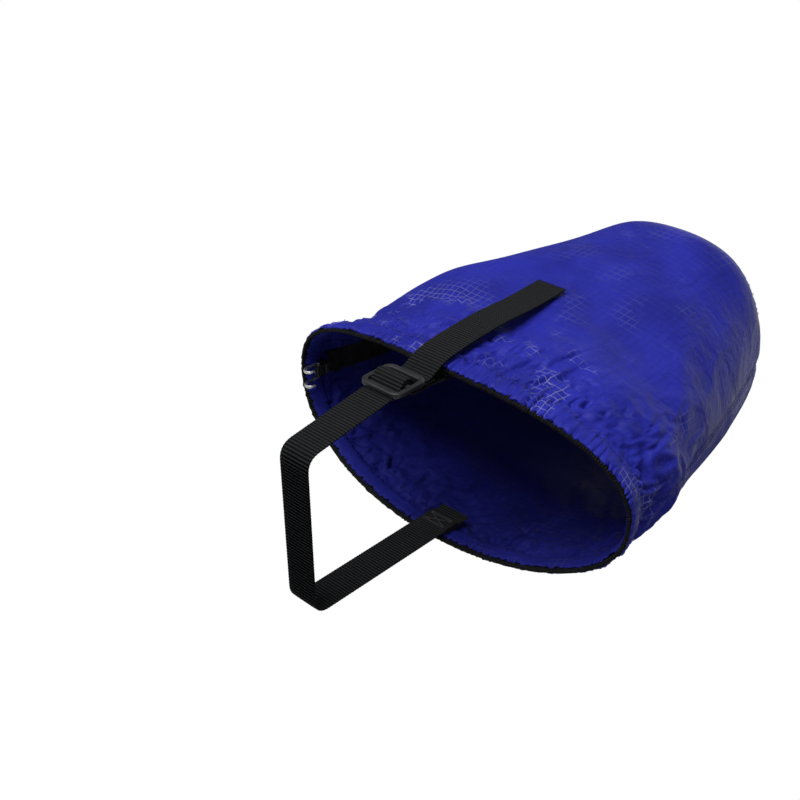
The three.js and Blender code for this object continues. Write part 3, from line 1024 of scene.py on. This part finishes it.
def rounded(corners):
    """A line with its corners rounded: each corner is a point and a radius."""
    line = []
    for i, (x, y, radius) in enumerate(corners):
        here = Vector((x, y))
        if not radius:
            line.append(here)
            continue
        back = (Vector(corners[i - 1][:2]) - here).normalized()
        ahead = (Vector(corners[i + 1][:2]) - here).normalized()
        half = back.angle(ahead) / 2
        start = here + back * radius / math.tan(half)
        end = here + ahead * radius / math.tan(half)
        for k in range(13):
            t = k / 12
            line.append(start * (1 - t) ** 2 + here * 2 * t * (1 - t) + end * t ** 2)
    return [tuple(point) for point in line]


def instep_line():
    low = -WEB_THICKNESS / 2
    return rounded([
        (-LAP_Y, LAP_TOP, 0), (-LAP_Y, HEM_SIDE, 30), (-SOLE_HALF, low, 1.5 * SOLE_BEND),
        (SOLE_HALF, low, 1.5 * SOLE_BEND), (SLIDER_Y + BESIDE, SLIDER_Z - LACE_END, 0),
    ])


def on_shell(z, lift):
    half = float(np.interp(z - HEM_SIDE, HEIGHTS, HALF_WIDTHS))
    return (half + 0.5 + GAP + WEB_THICKNESS / 2 + lift, z)


def tail_line():
    root = SLIDER_Y + BESIDE
    start = SLIDER_Z + LACE_END
    over = STATIONS[0][3] / 2 + HEM_SWELL + GAP + WEB_THICKNESS / 2 + 2.4
    rise = TAIL_TOP - HEM_SIDE
    points = [(root, start), (root + 0.35, start + 4.0), (over, HEM_SIDE + 2.0),
              on_shell(HEM_SIDE + 0.4 * rise, 3.6), on_shell(HEM_SIDE + 0.72 * rise, 2.4),
              on_shell(TAIL_TOP, 1.0)]
    return catmull(np.array(points), 12)


class GAITER_OT_webbing(bpy.types.Operator):
    """Ribbed strap, its lacing in the slider, its loose end, the slider's tab and the sewn patches"""

    bl_idname = "gaiter.webbing"
    bl_label = "Webbing"

    def execute(self, context):
        web = context.scene.gaiter_webbing
        black = finishes(context.scene)["web"]
        strap = webbing("instep_webbing", instep_line(), None, black, web)
        root = (0.0, (SLIDER_Y + BESIDE) * MM, (SLIDER_Z - LACE_END) * MM)
        root[2] - 0.012
        root[2] - 0.0005
        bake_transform(strap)
        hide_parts("instep_strap")
        lacing = webbing("lacing_webbing", lace_line(), "slider", black, web)
        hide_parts("strap_lacing")
        tail = webbing("tail_webbing", tail_line(), None, black, web)
        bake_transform(tail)
        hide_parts("strap_tail")
        tab = webbing("tab_webbing", tab_line(), "strap", black, web)
        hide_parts("slider_tab")
        for name, y in (("left", ANCHOR_Y), ("right", -ANCHOR_Y)):
            patch = webbing(f"{name}_anchor_webbing", [(y, HEM_SIDE), (y, ANCHOR_TOP)], "shell", black, web)
            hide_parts(f"{name}_strap_anchor")
        return {"FINISHED"}


class GAITER_OT_slider(bpy.types.Operator):
    """Moulded tri-glide slider with rounded bars"""

    bl_idname = "gaiter.slider"
    bl_label = "Tri-glide slider"

    def execute(self, context):
        look = finishes(context.scene)
        bm = bmesh.new()
        half_x, half_z = SLIDER_WIDTH / 2, SLIDER_LENGTH / 2
        hole_x, hole_z = half_x - SLIDER_SIDE, SLOT_EDGE
        tiny = 1e-6

        def oblong(x, z):
            corners = ((x, z), (-x, z), (-x, -z), (x, -z))
            spots = [bm.verts.new((a * MM, 0.0, b * MM)) for a, b in corners]
            return [bm.edges.new((a, b)) for a, b in zip(spots, spots[1:] + spots[:1])]

        def rounded_corners(x, radius):
            corners = []
            for edge in bm.edges:
                one, two = (vert.co for vert in edge.verts)
                upright = abs(one.x - two.x) < tiny and abs(one.z - two.z) < tiny
                if upright and abs(abs(one.x) - x * MM) < tiny:
                    corners.append(edge)
            bmesh.ops.bevel(bm, geom=corners, offset=radius * MM, segments=6, profile=0.5, affect="EDGES",
                            material=-1)

        edges = oblong(half_x, half_z) + oblong(hole_x, hole_z)
        bmesh.ops.bridge_loops(bm, edges=edges)
        found = bmesh.ops.extrude_face_region(bm, geom=bm.faces[:])
        moved = [item for item in found["geom"] if isinstance(item, bmesh.types.BMVert)]
        bmesh.ops.translate(bm, verts=moved, vec=(0, SLIDER_DEPTH * MM, 0))
        bmesh.ops.translate(bm, verts=bm.verts, vec=(0, -SLIDER_DEPTH / 2 * MM, 0))
        rounded_corners(half_x, 4.2)
        rounded_corners(hole_x, 1.4)
        bmesh.ops.recalc_face_normals(bm, faces=bm.faces)
        rims = [edge for edge in bm.edges if edge.is_manifold and edge.calc_face_angle() > 1.2]
        bmesh.ops.bevel(bm, geom=rims, offset=0.65 * MM, segments=4, profile=0.5, affect="EDGES",
                        material=-1)
        radius = BAR_RADIUS * MM
        bmesh.ops.create_cone(bm, cap_ends=True, segments=24, radius1=radius, radius2=radius,
                              depth=(2 * hole_x + 1.2) * MM, matrix=Matrix.Rotation(math.pi / 2, 4, "Y"))
        bmesh.ops.translate(bm, verts=bm.verts, vec=(0, SLIDER_Y * MM, SLIDER_Z * MM))
        piece = new_object("slider_body", bm, "slider", look["plastic"])
        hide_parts("tri_glide_slider")
        return {"FINISHED"}


class GAITER_OT_tacks(bpy.types.Operator):
    """Bar tacks and the stitch that closes the slider's tab"""

    bl_idname = "gaiter.tacks"
    bl_label = "Bar tacks"

    def execute(self, context):
        thread = finishes(context.scene)["black_thread"]
        tab_y = SLIDER_Y + BESIDE - 2 * (WEB_THICKNESS + GAP)
        for name, y, z, height, body in (
            ("left_bar_tack", LAP_Y, LAP_TOP - 5, 6.0, "strap"),
            ("right_bar_tack", -LAP_Y, LAP_TOP - 5, 6.0, "strap"),
            ("tab_stitch", tab_y, SLIDER_Z + 12.5, 2.4, "strap"),
        ):
            face = y - math.copysign(WEB_THICKNESS / 2 + 0.12, y)
            inward = (0, -math.copysign(1, y), 0)
            rows = []
            levels = (z - height / 2, z + height / 2) if height > 4 else (z,)
            for level in levels:
                for k in range(26):
                    x = -6.0 + 12.0 * k / 25
                    lean = 0.25 if k % 2 else -0.25
                    rows.append(((x, face, level), (lean, 0, 1), inward))
            if height > 4:
                for k in range(9):
                    x = -5.0 + 10.0 * k / 8
                    rise = (height - 1.6) * (k / 8 - 0.5)
                    rows.append(((x, face, z + rise), (1, 0, 0.35), inward))
                    rows.append(((x, face, z - rise), (1, 0, -0.35), inward))
            piece = stitch_row(f"{name}_thread", rows, body, thread, 1.7, 0.24)
            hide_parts(name)
        return {"FINISHED"}


class GAITER_OT_lace_hook(bpy.types.Operator):
    """Wire lace hook in its loop of tape at the front"""

    bl_idname = "gaiter.lace_hook"
    bl_label = "Lace hook"

    def execute(self, context):
        web = context.scene.gaiter_webbing
        look = finishes(context.scene)
        low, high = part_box("hook_tab")
        x = (low[0] + high[0]) / 2 / MM
        z, top = HOOK_Z, high[2] / MM
        reach, drop, half = 5.0, 10.0, 4.0

        def prong(side):
            return [
                (x - reach, side, z + 3 - drop), (x - 0.8 * reach, side, z - 0.93 * drop),
                (x - 0.4 * reach, side, z - drop), (x - 0.07 * reach, side, z - 0.9 * drop),
                (x, side, z + 3 - drop), (x, side, z - 1.2), (x, side * 0.9, z - 0.3), (x, side * 0.72, z),
            ]

        path = prong(half) + prong(-half)[::-1]
        hook = wire("lace_hook_wire", path, HOOK_WIRE, "hook", look["steel"])
        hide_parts("lace_hook")
        radius = 1.5
        bend = [(x + radius * math.cos(a), z + radius * math.sin(a)) for a in np.linspace(0, -math.pi, 13)]
        line = [(x + radius, top), *bend, (x - radius, top)]
        tab = webbing("hook_tab_tape", line, "shell", look["web"], web,
                      width=HOOK_TAB_WIDTH, thickness=HOOK_TAB_THICKNESS, plane="front")
        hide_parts("hook_tab")
        rows = []
        for k in range(12):
            y = -2.2 + 4.4 * k / 11
            rows.append(((x - radius - 0.55, y, top - 3.0), (0, 0.25 if k % 2 else -0.25, 1), (-1, 0, 0)))
        tack = stitch_row("hook_bar_tack_thread", rows, "shell", look["black_thread"], 2.4, 0.22)
        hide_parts("hook_bar_tack")
        return {"FINISHED"}


# ---------------------------------------------------------------- stage


def look_from(camera, place, back, up):
    """Sets the camera's place and turn from its backward and upward directions."""
    back, up = Vector(back).normalized(), Vector(up)
    right = up.cross(back).normalized()
    turn = Matrix((right, back.cross(right), back)).transposed().to_4x4()
    camera.matrix_world = Matrix.Translation(place) @ turn


class GAITER_OT_stage(bpy.types.Operator):
    """Camera, soft studio light and a plain pale floor"""

    bl_idname = "gaiter.stage"
    bl_label = "Stage"

    def execute(self, context):
        scene = context.scene
        stage = scene.gaiter_stage
        camera = bpy.data.objects.new("camera", bpy.data.cameras.new("camera"))
        scene.collection.objects.link(camera)
        camera.data.sensor_width = 36.0
        camera.data.lens = 51.4
        camera.data.clip_start = 0.01
        look_from(camera, (-0.2787, 0.2787, -0.2347), (-0.5905, 0.5151, -0.6213), (0.3486, 0.8571, 0.3793))
        scene.camera = camera
        self.floor()
        self.world(scene, stage)
        self.lamp(scene, "key", (0.05, 0.85, -0.2), 0.55, stage.key_power)
        self.lamp(scene, "fill", (0.7, -1.3, 0.8), 1.2, stage.fill_power)
        self.lamp(scene, "top", (0.0, 0.0, 2.2), 2.5, stage.top_power)
        scene.view_settings.view_transform = "Standard"
        return {"FINISHED"}

    def floor(self):
        """Pale and seen from above only, so that it hides nothing from a camera below it."""
        finish = Finish("pale_floor")
        finish.set(Base_Color=(0.9, 0.9, 0.9, 1.0), Roughness=1.0, Specular_IOR_Level=0.0)
        side = finish.node("ShaderNodeNewGeometry")
        seen = finish.node("ShaderNodeLightPath").outputs["Is Camera Ray"]
        glow = finish.mix(seen, (0, 0, 0, 1), (0.45, 0.45, 0.45, 1))
        finish.set(Emission_Color=glow, Emission_Strength=1.0)
        clear = finish.node("ShaderNodeBsdfTransparent")
        pick = finish.node("ShaderNodeMixShader", None, {
            0: side.outputs["Backfacing"], 1: finish.shader.outputs[0], 2: clear.outputs[0]})
        finish.tree.links.new(pick.outputs[0], finish.output.inputs["Surface"])
        bm = bmesh.new()
        bmesh.ops.create_grid(bm, x_segments=1, y_segments=1, size=3.0)
        bmesh.ops.translate(bm, verts=bm.verts, vec=(0, 0, cad_box[0][2] - 0.0005))
        floor = new_object("floor", bm, None, finish.material)
        floor.visible_shadow = False

    def world(self, scene, stage):
        world = bpy.data.worlds.new("studio")
        scene.world = world
        world.use_nodes = True
        tree = world.node_tree
        tree.nodes.clear()
        path = tree.nodes.new("ShaderNodeLightPath")
        seen, lit = (tree.nodes.new("ShaderNodeBackground") for _ in range(2))
        seen.inputs["Strength"].default_value = 1.0
        seen.inputs["Color"].default_value = (1, 1, 1, 1)
        lit.inputs["Strength"].default_value = stage.world_strength
        lit.inputs["Color"].default_value = (0.96, 0.98, 1.0, 1)
        mix = tree.nodes.new("ShaderNodeMixShader")
        output = tree.nodes.new("ShaderNodeOutputWorld")
        tree.links.new(path.outputs["Is Camera Ray"], mix.inputs[0])
        tree.links.new(lit.outputs[0], mix.inputs[1])
        tree.links.new(seen.outputs[0], mix.inputs[2])
        tree.links.new(mix.outputs[0], output.inputs["Surface"])

    def lamp(self, scene, name, place, size, power):
        light = bpy.data.lights.new(name, "AREA")
        light.energy = power
        light.size = size
        lamp = bpy.data.objects.new(name, light)
        scene.collection.objects.link(lamp)
        aim = Vector((0, 0, 0.15)) - Vector(place)
        lamp.matrix_world = Matrix.Translation(place) @ aim.to_track_quat("-Z", "Y").to_matrix().to_4x4()


# ---------------------------------------------------------------- settings and panel


class GaiterCloth(bpy.types.PropertyGroup):
    colour: FloatVectorProperty(name="Cloth colour", description="Colour of the dyed nylon",
                                subtype="COLOR", size=4, min=0, max=1, default=(0.0165, 0.0205, 0.285, 1.0))
    grid_pitch: FloatProperty(name="Grid pitch", description="Distance between heavier threads",
                              unit="LENGTH", default=0.0036)
    thickness: FloatProperty(name="Cloth thickness", description="Thickness of the shell cloth",
                             unit="LENGTH", default=0.00035)
    slack: FloatProperty(name="Slack", description="Extra cloth at the gathered edges, as a share",
                         default=0.11)
    ruffles: IntProperty(name="Lower ruffles", description="Ruffles round the lower edge", default=140)
    top_ruffles: IntProperty(name="Upper ruffles", description="Ruffles round the upper edge", default=84)


class GaiterWebbing(bpy.types.PropertyGroup):
    colour: FloatVectorProperty(name="Webbing colour", description="Colour of the webbing and tapes",
                                subtype="COLOR", size=4, min=0, max=1, default=(0.0034, 0.0036, 0.0040, 1.0))
    rib_pitch: FloatProperty(name="Rib pitch", description="Distance between the webbing's ribs",
                             unit="LENGTH", default=0.0015)
    rib_depth: FloatProperty(name="Rib depth", description="Depth of a rib as a share of thickness",
                             default=0.36)


class GaiterHardware(bpy.types.PropertyGroup):
    plastic: FloatVectorProperty(name="Slider colour", description="Colour of the moulded slider",
                                 subtype="COLOR", size=4, min=0, max=1, default=(0.012, 0.0125, 0.014, 1.0))


class GaiterStage(bpy.types.PropertyGroup):
    key_power: FloatProperty(name="Key light", description="Power of the key light",
                             unit="POWER", default=9.5)
    fill_power: FloatProperty(name="Fill light", description="Power of the fill light",
                              unit="POWER", default=13.0)
    top_power: FloatProperty(name="Top light", description="Power of the overhead light",
                             unit="POWER", default=20.0)
    world_strength: FloatProperty(name="Ambient light", description="Strength of the white surround",
                                  default=0.13)


class GAITER_PT_panel(bpy.types.Panel):
    """Lists the gaiter's pieces"""

    bl_idname = "GAITER_PT_panel"
    bl_label = "Gaiter"
    bl_space_type = "VIEW_3D"
    bl_region_type = "UI"
    bl_category = "Gaiter"

    def draw(self, context):
        for settings in SETTINGS:
            group = getattr(context.scene, settings)
            for key in group.bl_rna.properties.keys():
                if key not in ("rna_type", "name"):
                    self.layout.prop(group, key)
        for operator in OPERATORS:
            self.layout.operator(operator.bl_idname)


SETTINGS = {
    "gaiter_cloth": GaiterCloth,
    "gaiter_webbing": GaiterWebbing,
    "gaiter_hardware": GaiterHardware,
    "gaiter_stage": GaiterStage,
}
OPERATORS = (
    GAITER_OT_stage, GAITER_OT_shell, GAITER_OT_hems, GAITER_OT_elastics, GAITER_OT_seams,
    GAITER_OT_webbing, GAITER_OT_slider, GAITER_OT_tacks, GAITER_OT_lace_hook,
)


def register():
    for kind in (*SETTINGS.values(), *OPERATORS, GAITER_PT_panel):
        bpy.utils.register_class(kind)
    for name, kind in SETTINGS.items():
        setattr(bpy.types.Scene, name, PointerProperty(type=kind))


def unregister():
    for name in SETTINGS:
        delattr(bpy.types.Scene, name)
    for kind in reversed((*SETTINGS.values(), *OPERATORS, GAITER_PT_panel)):
        bpy.utils.unregister_class(kind)


def main():
    register()
    bpy.ops.gaiter.stage()
    bpy.ops.gaiter.shell()
    bpy.ops.gaiter.hems()
    bpy.ops.gaiter.elastics()
    bpy.ops.gaiter.seams()
    bpy.ops.gaiter.webbing()
    bpy.ops.gaiter.slider()
    bpy.ops.gaiter.tacks()
    bpy.ops.gaiter.lace_hook()


if __name__ == "__main__":
    main()
